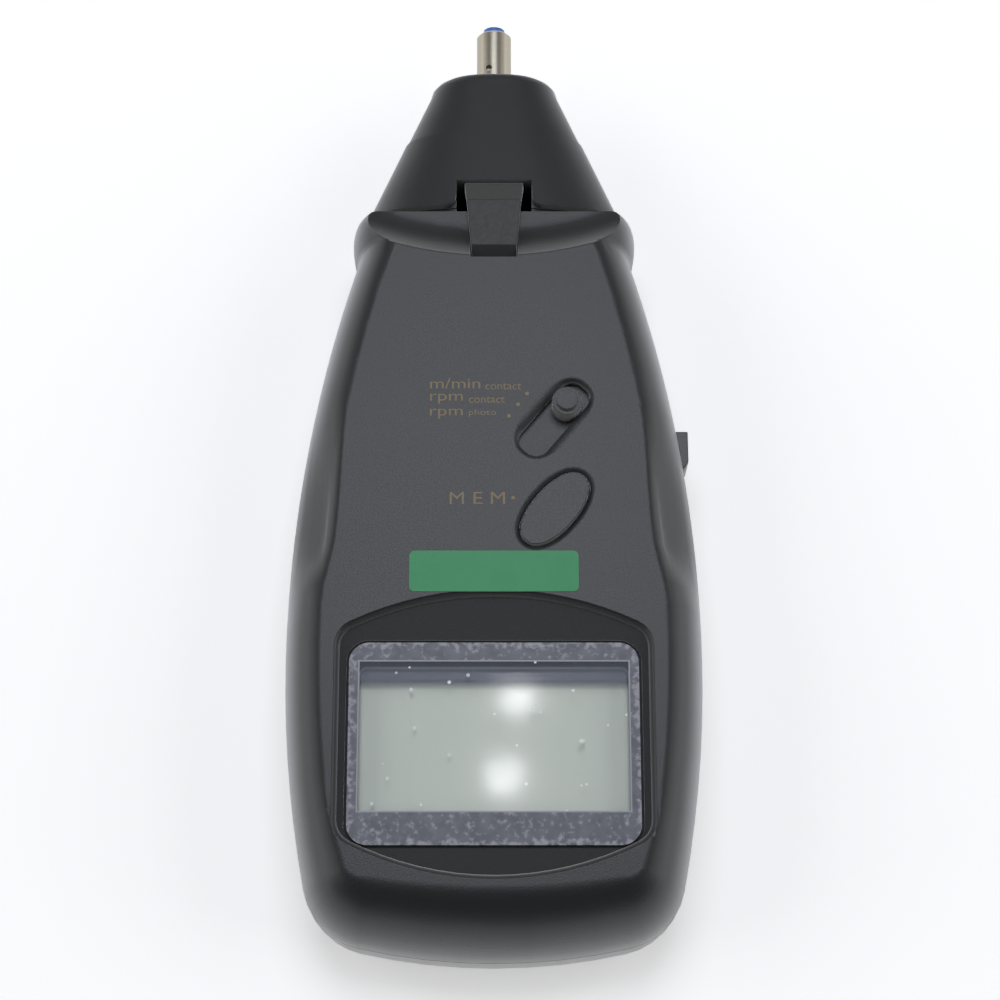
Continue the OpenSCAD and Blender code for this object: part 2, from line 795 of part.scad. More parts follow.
// Measure button: a wedge cap through the side wall, a flange inside it and a stem to its switch
flange_t = 1.4;
flange_x = half_w(measure_y + measure_l / 2 + 1.5) - wall - 0.9 - flange_t;
side_switch_x = 19.5;
side_switch_w = 4.2;
module measure_button() {
    front_x = measure_x + measure_proud;
    low_end = measure_y - measure_l / 2;
    high_end = measure_y + measure_l / 2;
    place() color(soft_black) {
        translate([0, 0, seam_z - measure_h / 2]) linear_extrude(measure_h) polygon([
            [flange_x, low_end], [front_x - 0.7, low_end], [front_x, low_end + 1.2],
            [front_x, high_end], [flange_x, high_end]
        ]);
        translate([flange_x, measure_y, seam_z]) rotate([0, 90, 0])
            slab(measure_h + 2.6, measure_l + 2.6, flange_t, 0.8);
        translate([side_switch_x + side_switch_w + measure_travel + 0.15, measure_y, seam_z]) rotate([0, 90, 0])
            cylinder(d = 3.4, h = flange_x - side_switch_x - side_switch_w - measure_travel - 0.1);
    }
}

module measure_switch() {
    place() color([0.25, 0.25, 0.26]) translate([side_switch_x, measure_y, 0]) {
        translate([0, -3, seam_z - 3]) cube([3.4, 6, board_z - seam_z + 3]);
        translate([0, 0, seam_z]) rotate([0, 90, 0]) cylinder(d = 3, h = side_switch_w);
    }
}

// Optics behind the socket: a panel with a laser and a receiver, and a clear window before them
panel_t = 3;
laser_x = -7.5;
sensor_x = 7.5;
laser_d = 6.5;
sensor_d = 9;
module optics_panel() {
    place() color(soft_black) difference() {
        union() {
            translate([0, cavity_end - panel_t, axis_z]) along_y(panel_t) oval(socket_w + 2.4, socket_h + 2.4);
            for (p = [[laser_x, laser_d], [sensor_x, sensor_d]])
                translate([p[0], 0, axis_z]) rod_y(p[1] + 3, cavity_end - panel_t - 5, cavity_end - eps);
        }
        translate([laser_x, 0, axis_z]) rod_y(laser_d + 2 * seat_gap, 0, body_l);
        translate([sensor_x, 0, axis_z]) rod_y(sensor_d + 2 * seat_gap, 0, body_l);
    }
}

module laser_module() {
    place() color(gold) translate([laser_x, 0, axis_z]) difference() {
        union() {
            rod_y(laser_d, cavity_end - optics_l, cavity_end);
            rod_y(laser_d - 2, cavity_end - optics_l - 2, cavity_end - optics_l + eps);
        }
        rod_y(2.6, cavity_end - 2, cavity_end + 1);
    }
}

module photo_sensor() {
    place() color([0.2, 0.2, 0.22]) translate([sensor_x, 0, axis_z]) difference() {
        union() {
            rod_y(sensor_d, cavity_end - optics_l, cavity_end);
            rod_y(sensor_d - 3, cavity_end - optics_l - 2.4, cavity_end - optics_l + eps);
        }
        rod_y(sensor_d - 2.4, cavity_end - 4, cavity_end + 1);
    }
}

module optics_window() {
    rim = 4;
    pane_w = sensor_x - laser_x + sensor_d + 2 * rim;
    pane_h = sensor_d + rim;
    pane_t = 1.2;
    place() color([0.55, 0.2, 0.2, 0.6]) translate([0, cavity_end, axis_z]) along_y(pane_t)
        rounded(pane_w, pane_h, rim - 1);
}

// Cells lie side by side, alternate ones turned end for end
cell_dirs = [1, -1, 1, -1];
nub_l = 1.2;
function cell_x(i) = (i - 1.5) * cell_pitch;
function cell_ends(i) = cell_dirs[i] > 0
    ? [tray_y0 + contact_t + spring_l, 1] : [tray_y1 - contact_t - spring_l, -1];

module battery_cells() {
    place() color(cell_grey) for (i = [0:3])
        translate([cell_x(i), cell_ends(i)[0], cell_z]) rotate([-90 * cell_dirs[i], 0, 0]) {
            cylinder(d = cell_d, h = cell_l - nub_l);
            cylinder(d = 5.4, h = cell_l);
        }
}

// Conical coil springs swept along a helix that narrows towards the cell
wire_d = 0.7;
spring_turns = 2.5;
spring_steps = 25;
wire_sides = 6;
spring_d0 = 9;
spring_d1 = 5;
function coil_point(u) =
    let (r = (spring_d0 + (spring_d1 - spring_d0) * u - wire_d) / 2, a = 360 * spring_turns * u)
    [r * cos(a), r * sin(a), wire_d / 2 + (spring_l - wire_d - 0.1) * u];
function coil_ring(k) =
    let (
        u = k / spring_steps,
        a = 360 * spring_turns * u,
        p = coil_point(u)
    )
    [for (i = [0:wire_sides - 1])
        let (b = 360 * i / wire_sides)
        p + wire_d / 2 * [cos(b) * cos(a), cos(b) * sin(a), sin(b)]];
module coil() {
    n = wire_sides;
    m = spring_steps + 1;
    polyhedron(
        points = [for (k = [0:m - 1]) each coil_ring(k)],
        faces = concat(
            [[for (i = [n - 1:-1:0]) i]],
            [[for (i = [0:n - 1]) (m - 1) * n + i]],
            [for (k = [0:m - 2], i = [0:n - 1]) let (j = (i + 1) % n)
                [k * n + i, k * n + j, (k + 1) * n + j]],
            [for (k = [0:m - 2], i = [0:n - 1]) let (j = (i + 1) % n)
                [k * n + i, (k + 1) * n + j, (k + 1) * n + i]]
        )
    );
}

module battery_springs() {
    place() color(steel) for (i = [0:3])
        translate([cell_x(i), cell_dirs[i] > 0 ? tray_y0 + contact_t : tray_y1 - contact_t, cell_z])
            rotate([-90 * cell_dirs[i], 0, 0]) coil();
}

module contact_plate(first, last, y) {
    half = 5;
    translate([cell_x(first) - half, y, cell_z - half])
        cube([cell_x(last) - cell_x(first) + 2 * half, contact_t, 2 * half]);
}

module battery_contacts() {
    low = tray_y0;
    high = tray_y1 - contact_t;
    place() color(steel) {
        contact_plate(0, 0, low);
        contact_plate(1, 2, low);
        contact_plate(3, 3, low);
        contact_plate(0, 1, high);
        contact_plate(2, 3, high);
    }
}

// Adapter: rounded sections that shrink from the collar to the nose
adapter_power = 2.6;
adapter_wall = 2;
adapter_sides = 48;
function section_ring(w, h, y) = [
    for (p = oval_points(w, h, adapter_power, adapter_sides)) [p[0], p[1], -y]
];
module adapter_loft(stations) {
    translate([0, 0, axis_z]) rotate([-90, 0, 0])
        mirror([0, 0, 1]) skin([for (i = [len(stations) - 1:-1:0]) section_ring(stations[i][0], stations[i][1], stations[i][2])]);
}

// Stations of the outside and of the inside, as [width, height, length]
function between(a, b, u) = a + (b - a) * u;
function base_station(u, less) = [
    between(base_w, waist_w, u) - less, between(base_h, waist_h, u) - less, base_y + base_l * u
];
nose_step = 0.5;
nose_round = 3;
nose_in_w = 1.2;
nose_in_h = 0.25;
function nose_station(u, less) = [
    between(waist_w - nose_step, tip_w, u) - less, between(waist_h - nose_step, tip_h, u) - less,
    waist_y + (nose_l - nose_round) * u
];
function nose_end(a) = [
    tip_w - 2 * nose_round * nose_in_w * (1 - cos(a)), tip_h - 2 * nose_round * nose_in_h * (1 - cos(a)),
    nose_y - nose_round * (1 - sin(a))
];

// The clip turns on a pin inside the adapter wall
pivot_y = base_y + 7.7;
pivot_z = axis_z + 6.6;
pin_d = 1.6;
barrel_d = 3.2;
ring_d = journal_d + 3.4;
notch_w = clip_root_w + 3.2;
notch_l = 5.4;
spigot_wall = 1.6;
bulk_y = base_y + 10.2;
bulk_t = 2.5;
post_x = 11;
adapter_screw_d = 2.2;

pin_l = clip_root_w + 4.6;
module pin_rod(d, l) {
    translate([0, pivot_y, pivot_z]) rotate([0, 90, 0]) cylinder(d = d, h = l, center = true);
}

module adapter_base() {
    flange = 2.2;
    lug_w = 2.4;
    lug_x = clip_root_w / 2 + 0.3;
    flare = 2.2;
    hub_d = bearing_d + 4;
    place() color(soft_black) difference() {
        union() {
            difference() {
                adapter_loft([for (u = [0, 0.25, 0.5, 0.75, 1]) base_station(u, 0)]);
                intersection() {
                    adapter_loft([base_station(-0.05, 2 * adapter_wall), base_station(1.05, 2 * adapter_wall)]);
                    translate([-far, base_y + flange, -far]) cube([2 * far, 2 * far, 3 * far]);
                }
            }
            intersection() {
                adapter_loft([for (u = [0, 0.5, 1]) base_station(u, adapter_wall)]);
                translate([-far, bulk_y, -far]) cube([2 * far, bulk_t, 3 * far]);
            }
            translate([0, 0, axis_z]) rod_y(hub_d, bulk_y, waist_y - 0.2);
            translate([0, base_y - spigot_l, axis_z]) along_y(spigot_l + flange)
                oval(socket_w - 2 * slip, socket_h - 2 * slip);
            intersection() {
                adapter_loft([for (u = [0, 0.5, 1]) base_station(u, adapter_wall)]);
                for (s = [-1, 1])
                    translate([s * (lug_x + lug_w / 2), pivot_y + 1, pivot_z + 1])
                        cube([lug_w, 6.4, 7], center = true);
            }
        }
        translate([0, base_y - spigot_l - 1, axis_z]) along_y(spigot_l + flange + 2)
            oval(socket_w - 2 * slip - 2 * spigot_wall, socket_h - 2 * slip - 2 * spigot_wall);
        translate([0, 0, axis_z + socket_h / 2 - slip + 0.1]) linear_extrude(far) polygon(concat(
            [[-notch_w / 2, base_y + notch_l], [notch_w / 2, base_y + notch_l]],
            [for (a = [180:15:270]) [notch_w / 2 + flare, base_y + flare] + turn(flare, a)],
            [[notch_w / 2 + flare, base_y - 1], [-notch_w / 2 - flare, base_y - 1]],
            [for (a = [270:15:360]) [-notch_w / 2 - flare, base_y + flare] + turn(flare, a)]
        ));
        translate([-notch_w / 2, body_l, axis_z + 6]) cube([notch_w, collar_gap + notch_l, far]);
        pin_rod(pin_d + 2 * seat_gap, pin_l + 0.2);
        translate([0, 0, axis_z]) rod_y(bearing_d + 2 * seat_gap, bulk_y + 1.2, far * 4);
        translate([0, 0, axis_z]) rod_y(ring_d + 1.2, 0, far * 4);
        for (s = [-1, 1])
            translate([s * post_x, 0, axis_z]) rod_y(adapter_screw_d + 0.3, 0, far * 4);
    }
}

module adapter_nose() {
    post = 5.4;
    bore_gap = 0.4;
    place() color(soft_black) difference() {
        union() {
            difference() {
                adapter_loft(concat(
                    [for (u = [0, 0.35, 0.7]) nose_station(u, 0)], [for (a = [0, 25, 50, 70, 90]) nose_end(a)]
                ));
                intersection() {
                    adapter_loft([nose_station(-0.1, 2 * adapter_wall), nose_station(1.2, 2 * adapter_wall)]);
                    translate([-far, waist_y - 1, -far]) cube([2 * far, front_seat_y - waist_y, 3 * far]);
                }
            }
            for (s = [-1, 1])
                translate([s * post_x, 0, axis_z]) rod_y(post, bulk_y + bulk_t, waist_y + 4);
        }
        translate([0, 0, axis_z]) rod_y(bearing_d + 2 * seat_gap, waist_y - 1, nose_y - nose_wall);
        translate([0, 0, axis_z]) rod_y(journal_d + 2 * bore_gap, 0, far * 4);
        for (s = [-1, 1])
            translate([s * post_x, 0, axis_z]) rod_y(adapter_screw_d + 2 * seat_gap, 0, waist_y + 2);
    }
}

// The clip's side view, cut to a plan that narrows towards its hooked end
clip_gap = 0.3;
module clip_side() {
    under = ledge_z + clip_gap;
    top = under + clip_t;
    root_y = pivot_y - 3;
    root_z = axis_z + base_h / 2 - 0.9;
    end_y = pocket_y + 0.4;
    bend_y = pocket_y + 3.4;
    end_dip = 1.3;
    polygon([
        [top - end_dip, end_y], [top, bend_y], [top, base_y + 0.2], [root_z, root_y],
        [pivot_z + 1.2, root_y], [pivot_z + 1.2, pivot_y], [pivot_z - 0.6, pivot_y],
        [pivot_z - 0.2, root_y - 1.4], [root_z - clip_t, root_y - 1.4],
        [under, base_y - 0.4], [under, ramp_y], [under - hook_drop, ramp_y - 3.2], [under - hook_drop, end_y]
    ]);
}

module adapter_clip() {
    place() color(clip_grey) difference() {
        union() {
            intersection() {
                translate([clip_root_w / 2, 0, 0]) rotate([0, -90, 0]) linear_extrude(clip_root_w) clip_side();
                linear_extrude(far) polygon([
                    [-clip_end_w / 2, pocket_y], [clip_end_w / 2, pocket_y],
                    [clip_root_w / 2, pivot_y - 3], [clip_root_w / 2, pivot_y + 3],
                    [-clip_root_w / 2, pivot_y + 3], [-clip_root_w / 2, pivot_y - 3]
                ]);
            }
            pin_rod(barrel_d, clip_root_w);
        }
        pin_rod(pin_d + 2 * run_gap, far);
    }
}

module clip_pin() {
    place() color(steel) pin_rod(pin_d, pin_l);
}

// Shaft with its bearings, the disc that the optics read, and the ring that holds it
rear_seat_y = bulk_y + 1.2;
nose_wall = 1.4;
front_seat_y = nose_y - nose_wall - bearing_w;
shaft_low = base_y - spigot_l + 1;
groove_d = journal_d - 0.8;
disc_t = 1.2;
plug_d = 4.2;
plug_in = 5.8;
module drive_shaft() {
    chamfer = 0.5;
    neck_out = 0.4;
    hole_d = 1.2;
    hole_out = 3.4;
    place() color(steel) translate([0, 0, axis_z]) difference() {
        union() {
            rod_y(journal_d, shaft_low, nose_y + neck_out + 1);
            rod_y(shaft_d, nose_y + neck_out, tip_y - chamfer);
            translate([0, tip_y - chamfer, 0]) rotate([-90, 0, 0])
                cylinder(d1 = shaft_d, d2 = shaft_d - 2 * chamfer, h = chamfer);
        }
        rod_y(plug_d + 2 * seat_gap, tip_y - plug_in - 0.2, tip_y + 1);
        translate([-1, nose_y + hole_out, shaft_d / 2 - hole_d]) cylinder(d = hole_d, h = 3);
        rod_ring(groove_d, journal_d + 2, rear_seat_y - 0.8, rear_seat_y - 0.1);
    }
}

module rod_ring(d_in, d_out, y0, y1) {
    difference() {
        rod_y(d_out, y0, y1);
        rod_y(d_in, y0 - 1, y1 + 1);
    }
}

module shaft_plug() {
    place() color(plug_blue) translate([0, 0, axis_z]) rod_y(plug_d, tip_y - plug_in, tip_y + plug_out);
}

module bearing(y0) {
    shield = 0.3;
    shield_in = journal_d + 2.6;
    shield_out = bearing_d - 2.2;
    translate([0, 0, axis_z]) difference() {
        rod_ring(journal_d + 2 * run_gap, bearing_d, y0, y0 + bearing_w);
        rod_ring(shield_in, shield_out, y0 - 1, y0 + shield);
        rod_ring(shield_in, shield_out, y0 + bearing_w - shield, y0 + bearing_w + 1);
    }
}

module front_bearing() {
    place() color(steel) bearing(front_seat_y);
}

module rear_bearing() {
    place() color(steel) bearing(rear_seat_y);
}

module encoder_disc() {
    hub_d = 9;
    hub_l = 4;
    marks = 2;
    place() color([0.12, 0.12, 0.12]) translate([0, 0, axis_z]) difference() {
        union() {
            rod_y(disc_d, shaft_low, shaft_low + disc_t);
            rod_y(hub_d, shaft_low, shaft_low + hub_l);
        }
        rod_y(journal_d + 2 * seat_gap, 0, far * 4);
        for (i = [0:marks - 1])
            rotate([0, 360 * i / marks, 0]) translate([disc_d / 2 - 1.4, 0, 0]) rod_y(1.4, 0, far * 4);
    }
}

module retaining_ring() {
    place() color(steel) translate([0, 0, axis_z]) difference() {
        rod_ring(groove_d + 2 * seat_gap, ring_d, rear_seat_y - 0.75, rear_seat_y - 0.15);
        translate([-1.2, 0, -far]) cube([2.4, far * 4, far]);
    }
}

module case_screws() {
    place() color(steel) for (p = case_screw_at)
        screw_up(p, boss_floor - screw_head_t, seam_z + case_bite - boss_floor, screw_d, screw_head_d, screw_head_t);
}

module board_screws() {
    place() color(steel) for (p = board_screw_at)
        screw_up(p, board_z - small_head_t, board_t + board_bite, small_screw_d, small_head_d, small_head_t);
}

module adapter_screws() {
    head_d = 4;
    head_t = 1.4;
    place() color(steel) for (s = [-1, 1])
        translate([s * post_x, 0, axis_z]) difference() {
            union() {
                rod_y(head_d, bulk_y - head_t, bulk_y);
                rod_y(adapter_screw_d, bulk_y - head_t, waist_y + 1.6);
            }
            for (a = [0, 90])
                rotate([0, a, 0]) translate([0, bulk_y - head_t, 0]) cube([head_d * 0.6, 1.2, 0.6], center = true);
        }
}

label_w = 30.3;
label_h = 7.6;
label_y = 67.6;
label_t = 0.12;
module front_label() {
    place() color(label_green) translate([0, label_y, body_t]) slab(label_w, label_h, label_t, 1);
}

front_housing();
rear_housing();
battery_cover();
display_window();
lcd_panel();
lcd_holder();
contact_strips();
main_board();
controller_chip();
mode_switch();
mode_lever();
mode_knob();
memory_button();
memory_switch();
measure_button();
measure_switch();
laser_module();
photo_sensor();
optics_panel();
optics_window();
battery_cells();
battery_springs();
battery_contacts();
adapter_base();
adapter_nose();
adapter_clip();
clip_pin();
drive_shaft();
shaft_plug();
front_bearing();
rear_bearing();
encoder_disc();
retaining_ring();
case_screws();
board_screws();
adapter_screws();
front_label();
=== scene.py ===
import json
from math import cos, pi, radians, sin, tan

import bmesh
import bpy
from mathutils import Matrix, Vector


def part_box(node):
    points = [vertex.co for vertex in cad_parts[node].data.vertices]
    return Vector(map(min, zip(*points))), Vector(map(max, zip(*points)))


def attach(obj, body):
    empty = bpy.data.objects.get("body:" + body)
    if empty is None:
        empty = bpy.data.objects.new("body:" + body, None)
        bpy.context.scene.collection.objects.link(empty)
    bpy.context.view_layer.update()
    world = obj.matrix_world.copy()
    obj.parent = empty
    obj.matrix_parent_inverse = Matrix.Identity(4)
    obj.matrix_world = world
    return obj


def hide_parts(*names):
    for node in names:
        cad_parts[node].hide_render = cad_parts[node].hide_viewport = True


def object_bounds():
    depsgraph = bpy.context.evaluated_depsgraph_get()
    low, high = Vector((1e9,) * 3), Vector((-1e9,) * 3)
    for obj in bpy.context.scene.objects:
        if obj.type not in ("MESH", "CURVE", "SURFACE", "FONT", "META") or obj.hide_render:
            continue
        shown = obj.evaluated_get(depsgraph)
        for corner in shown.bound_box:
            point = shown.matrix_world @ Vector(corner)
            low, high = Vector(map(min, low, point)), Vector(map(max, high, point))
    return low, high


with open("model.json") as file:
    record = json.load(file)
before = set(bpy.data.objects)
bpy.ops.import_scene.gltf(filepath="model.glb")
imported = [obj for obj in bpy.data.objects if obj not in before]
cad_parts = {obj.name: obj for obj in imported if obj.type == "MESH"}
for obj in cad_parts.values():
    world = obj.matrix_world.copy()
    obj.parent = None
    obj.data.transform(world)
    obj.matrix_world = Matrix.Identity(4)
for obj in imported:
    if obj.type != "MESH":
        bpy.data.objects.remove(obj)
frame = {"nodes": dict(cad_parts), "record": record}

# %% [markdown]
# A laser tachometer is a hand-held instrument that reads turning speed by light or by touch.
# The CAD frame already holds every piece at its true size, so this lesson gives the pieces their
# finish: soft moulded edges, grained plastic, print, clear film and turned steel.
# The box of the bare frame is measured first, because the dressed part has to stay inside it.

MM = 0.001
CAD_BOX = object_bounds()
LOW, HIGH = (Vector(corner) for corner in CAD_BOX)
NODES = frame["nodes"]
BODIES = frame["record"]["behaviour"]["bodies"]
BODY_OF = {node: body for body, nodes in BODIES.items() for node in nodes}
SLOT_OF = {piece["node"]: piece["material_slot"] for piece in frame["record"]["subparts"]}
print("frame:", len(NODES), "nodes, size in mm", [round(side / MM, 1) for side in HIGH - LOW])

# %% [markdown]
# A finish is a small graph of nodes. Wiring each one by hand hides the sum that it does, so one
# class wraps a socket and lets Python's own signs add the Math nodes. Everything else, from a
# noise to the shader itself, comes from a single method that takes a node's settings and sockets.

# %% Shader sums as Python expressions
# Places of the colour sockets on a Mix node
MIX_FACTOR, MIX_FROM, MIX_TO, MIX_RESULT = 0, 6, 7, 2


class Wire:
    """A socket in a finish's node tree. Arithmetic on it adds Math nodes."""

    def __init__(self, tree, socket=None):
        self.tree = tree
        self.socket = socket

    def node(self, kind, settings, sockets, out=0):
        """Adds a node: its settings first, then the values or links of its sockets."""
        made = self.tree.nodes.new(kind)
        for key, value in settings.items():
            setattr(made, key, value)
        for key, value in sockets.items():
            if isinstance(value, Wire):
                self.tree.links.new(value.socket, made.inputs[key])
            else:
                made.inputs[key].default_value = value
        return Wire(self.tree, made.outputs[out] if len(made.outputs) else None)

    def sum(self, operation, first, second=0.0):
        return self.node("ShaderNodeMath", {"operation": operation}, {0: first, 1: second})

    def __add__(self, other):
        return self.sum("ADD", self, other)

    def __sub__(self, other):
        return self.sum("SUBTRACT", self, other)

    def __rsub__(self, other):
        return self.sum("SUBTRACT", other, self)

    def __mul__(self, other):
        return self.sum("MULTIPLY", self, other)

    def __lt__(self, other):
        return self.sum("LESS_THAN", self, other)

    def __gt__(self, other):
        return self.sum("GREATER_THAN", self, other)

    def __abs__(self):
        return self.sum("ABSOLUTE", self)

    __radd__ = __add__
    __rmul__ = __mul__

    def mix(self, colour, other):
        """Goes from one colour to another as this wire goes from 0 to 1."""
        sockets = {MIX_FACTOR: self, MIX_FROM: colour, MIX_TO: other}
        return self.node("ShaderNodeMix", {"data_type": "RGBA"}, sockets, MIX_RESULT)

    def clamped(self):
        return self.node("ShaderNodeClamp", {}, {"Value": self})

    def noise(self, scale, detail=2.0):
        return self.node("ShaderNodeTexNoise", {}, {"Vector": self, "Scale": scale, "Detail": detail})

    def vary(self, base, spread, scale, detail=2.0):
        """A number that a noise lifts from its base by up to a spread."""
        return base + spread * self.noise(scale, detail)

    def bump(self, height_mm):
        """A Normal that follows this wire as a height."""
        return self.node("ShaderNodeBump", {}, {"Height": self, "Distance": height_mm * MM})

    def parts(self):
        """The three numbers of a vector."""
        split = self.node("ShaderNodeSeparateXYZ", {}, {"Vector": self})
        return [Wire(self.tree, socket) for socket in split.socket.node.outputs]


def finish(name):
    """A new material and the wire of its Object coordinates."""
    material = bpy.data.materials.new(name)
    material.use_nodes = True
    material.node_tree.nodes.clear()
    here = Wire(material.node_tree).node("ShaderNodeTexCoord", {}, {}, "Object")
    return material, here


def surface(here, sockets):
    """Ends a finish with the shader that has these sockets."""
    shader = here.node("ShaderNodeBsdfPrincipled", {}, sockets)
    here.node("ShaderNodeOutputMaterial", {}, {"Surface": shader})


def tone(red, green, blue):
    """A colour as read off a screen, 0 to 255, made linear for the shader."""
    linear = [((c / 255 + 0.055) / 1.055) ** 2.4 if c > 10 else c / 3295 for c in (red, green, blue)]
    return (*linear, 1.0)


print("colour check, middle grey:", [round(c, 3) for c in tone(128, 128, 128)])

# %% [markdown]
# The case, the adapter and the buttons are moulded plastic. The mould is spark-eroded, which leaves
# a grain of a few tenths of a millimetre. A fine noise drives both a shallow bump and the
# roughness, and a slow noise lets the colour drift a little, as a real moulding's does. Seen at a
# low angle the peaks of the grain catch light, and the shader's sheen stands for that.

# %% Grained plastic
GRAIN = 3400
GRAIN_DETAIL = 3.0
GLOSS_BREAK = 0.16
DRIFT = 55
DRIFT_DARK, DRIFT_PALE = 0.86, 1.14
SHEEN = {"Sheen Weight": 1.0, "Sheen Roughness": 0.42}


def scaled(colour, factor):
    return (*(c * factor for c in colour[:3]), 1.0)


def grain_sockets(here, colour, roughness, height_mm, grain=GRAIN):
    """Sockets of a grained moulding: drifting colour, broken gloss and a shallow bump."""
    fleck = here.noise(grain, GRAIN_DETAIL)
    drift = here.noise(DRIFT)
    return {
        "Base Color": drift.mix(scaled(colour, DRIFT_DARK), scaled(colour, DRIFT_PALE)),
        "Roughness": roughness + GLOSS_BREAK * (fleck - 0.5),
        "Normal": fleck.bump(height_mm),
        **SHEEN,
    }


def grained(name, colour, roughness, height_mm, grain=GRAIN):
    material, here = finish(name)
    surface(here, grain_sockets(here, colour, roughness, height_mm, grain))
    return material


# Each has its colour, its roughness, the height of its grain in mm and, where it differs, its grain
finishes = {
    "rear_case": grained("rear moulding", tone(28, 29, 31), 0.34, 0.026),
    "adapter": grained("adapter moulding", tone(28, 30, 32), 0.42, 0.02),
    "clip": grained("clip moulding", tone(24, 24, 24), 0.48, 0.01, 1200),
    "button": grained("button moulding", tone(27, 28, 30), 0.4, 0.012),
    "holder": grained("display frame moulding", tone(212, 211, 204), 0.5, 0.01),
    "strip": grained("contact strip rubber", tone(190, 120, 112), 0.7, 0.02),
    "chip": grained("black package", tone(38, 38, 40), 0.5, 0.008),
    "plug": grained("blue plug", tone(58, 112, 196), 0.35, 0.01),
}
print("plastics:", ", ".join(finishes))

# %% [markdown]
# The face of the case has one more surface: the floor of the recess round the window, which the mould
# leaves duller than the rest. Two arcs and two straight sides bound it on the solid, so the same
# arcs, set out from the window, tell the finish where it is.

# %% Front moulding with its dull recess
WINDOW_LOW, WINDOW_HIGH = (Vector(corner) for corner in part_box("display_window"))
WINDOW_MID_Y = (WINDOW_LOW.y + WINDOW_HIGH.y) / 2
WINDOW_HALF_H = (WINDOW_HIGH.y - WINDOW_LOW.y) / 2
FACE_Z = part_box("front_housing")[1][2]
BROW_R = 59.0 * MM
BROW_RISE = 27.7 * MM
CHIN_R = 57.0 * MM
CHIN_DROP = 24.3 * MM
RECESS_HALF_W = 28.5 * MM
RECESS_DEPTH = 3 * MM
RECESS_DULL = 0.26
LIP = 0.3 * MM


def within(across, along, middle, radius):
    """1 inside a circle on the middle line of the face."""
    return across * across + (along - middle) * (along - middle) < radius * radius


def front_moulding():
    material, here = finish("front moulding")
    across, along, up = here.parts()
    brow = within(across, along, WINDOW_MID_Y + BROW_RISE - BROW_R, BROW_R)
    chin = within(across, along, WINDOW_MID_Y - CHIN_DROP + CHIN_R, CHIN_R)
    sunk = (up > FACE_Z - RECESS_DEPTH) * (up < FACE_Z - LIP)
    recess = brow * chin * (abs(across) < RECESS_HALF_W) * sunk
    sockets = grain_sockets(here, tone(26, 27, 30), roughness=0.39, height_mm=0.03)
    sockets["Roughness"] = sockets["Roughness"] + RECESS_DULL * recess
    surface(here, sockets)
    return material


finishes["front_case"] = front_moulding()
print("face at", round(FACE_Z / MM, 1), "mm, recess", round(2 * RECESS_HALF_W / MM, 1), "mm wide")

# %% [markdown]
# The window is a clear sheet printed dark round its edge, with a hazy film over it that has caught
# dust. One shader does all of it: the print is opaque, and inside the print Alpha lets the display
# show through. The dust is a cell pattern cut off close to its points. The print flakes where a
# noise is high, and more so towards its rim.

# %% Window and display
PRINT_SIDE = 1.9 * MM
PRINT_TOP = 3.5 * MM
PRINT_BOTTOM = 6.0 * MM
BEVEL_HIGHLIGHT_W = 0.25 * MM
# Band along the top of the clear area and its soft edge, where shadow of the print is painted
EDGE_BAND = 4.4 * MM
EDGE_FADE = 1.6 * MM
PRINT_RIM = 1.5 * MM
SPECK_CELLS = 260
SPECK_R = 0.09
FLAKE_STEP = 6
FLAKE_CUT = 0.55
RIM_FLAKES = 0.16
FILM_CLEAR = 0.94
FILM_HAZE_AND_SHADE = 0.16


def printed_window():
    material, here = finish("printed window")
    across, along = here.parts()[:2]
    half_w = WINDOW_HIGH.x - PRINT_SIDE
    low = WINDOW_LOW.y + PRINT_BOTTOM
    high = WINDOW_HIGH.y - PRINT_TOP
    off_mid = abs(along - (low + high) / 2)
    clear = (abs(across) < half_w) * (off_mid < (high - low) / 2)
    # A thin pale line round the clear opening is a painted highlight on the window's inner bevel.
    bevel_highlight = (abs(across) < half_w + BEVEL_HIGHLIGHT_W) * (off_mid < (high - low) / 2 + BEVEL_HIGHLIGHT_W)
    side = abs(across) - (WINDOW_HIGH.x - PRINT_RIM)
    end = abs(along - WINDOW_MID_Y) - (WINDOW_HALF_H - PRINT_RIM)
    rim = here.sum("MAXIMUM", here.sum("MAXIMUM", side, end), 0.0) * (1 / PRINT_RIM)
    cells = here.node("ShaderNodeTexVoronoi", {}, {"Vector": here, "Scale": SPECK_CELLS}, "Distance")
    specks = cells < SPECK_R
    flakes = FLAKE_STEP * (here.noise(scale=1000, detail=5.0) + RIM_FLAKES * rim - FLAKE_CUT)
    # Along the top of the clear area the film is made less clear, so its blue-grey shows more: partly
    # haze, partly painted shadow of the print on the display.
    haze_and_painted_shade = ((along - (high - EDGE_BAND)) * (1 / EDGE_FADE)).clamped()
    border = here.noise(scale=500).mix(tone(76, 78, 90), tone(122, 123, 134))
    border = flakes.mix(border, tone(158, 158, 167))
    border = bevel_highlight.mix(border, tone(160, 161, 170))
    film = specks.mix(tone(150, 156, 172), tone(236, 240, 238))
    surface(here, {
        "Base Color": clear.mix(border, film),
        "Alpha": 1 - clear * (FILM_CLEAR - FILM_HAZE_AND_SHADE * haze_and_painted_shade) * (1 - specks),
        "Roughness": here.vary(base=0.36, spread=0.2, scale=420, detail=3.0),
    })
    return material


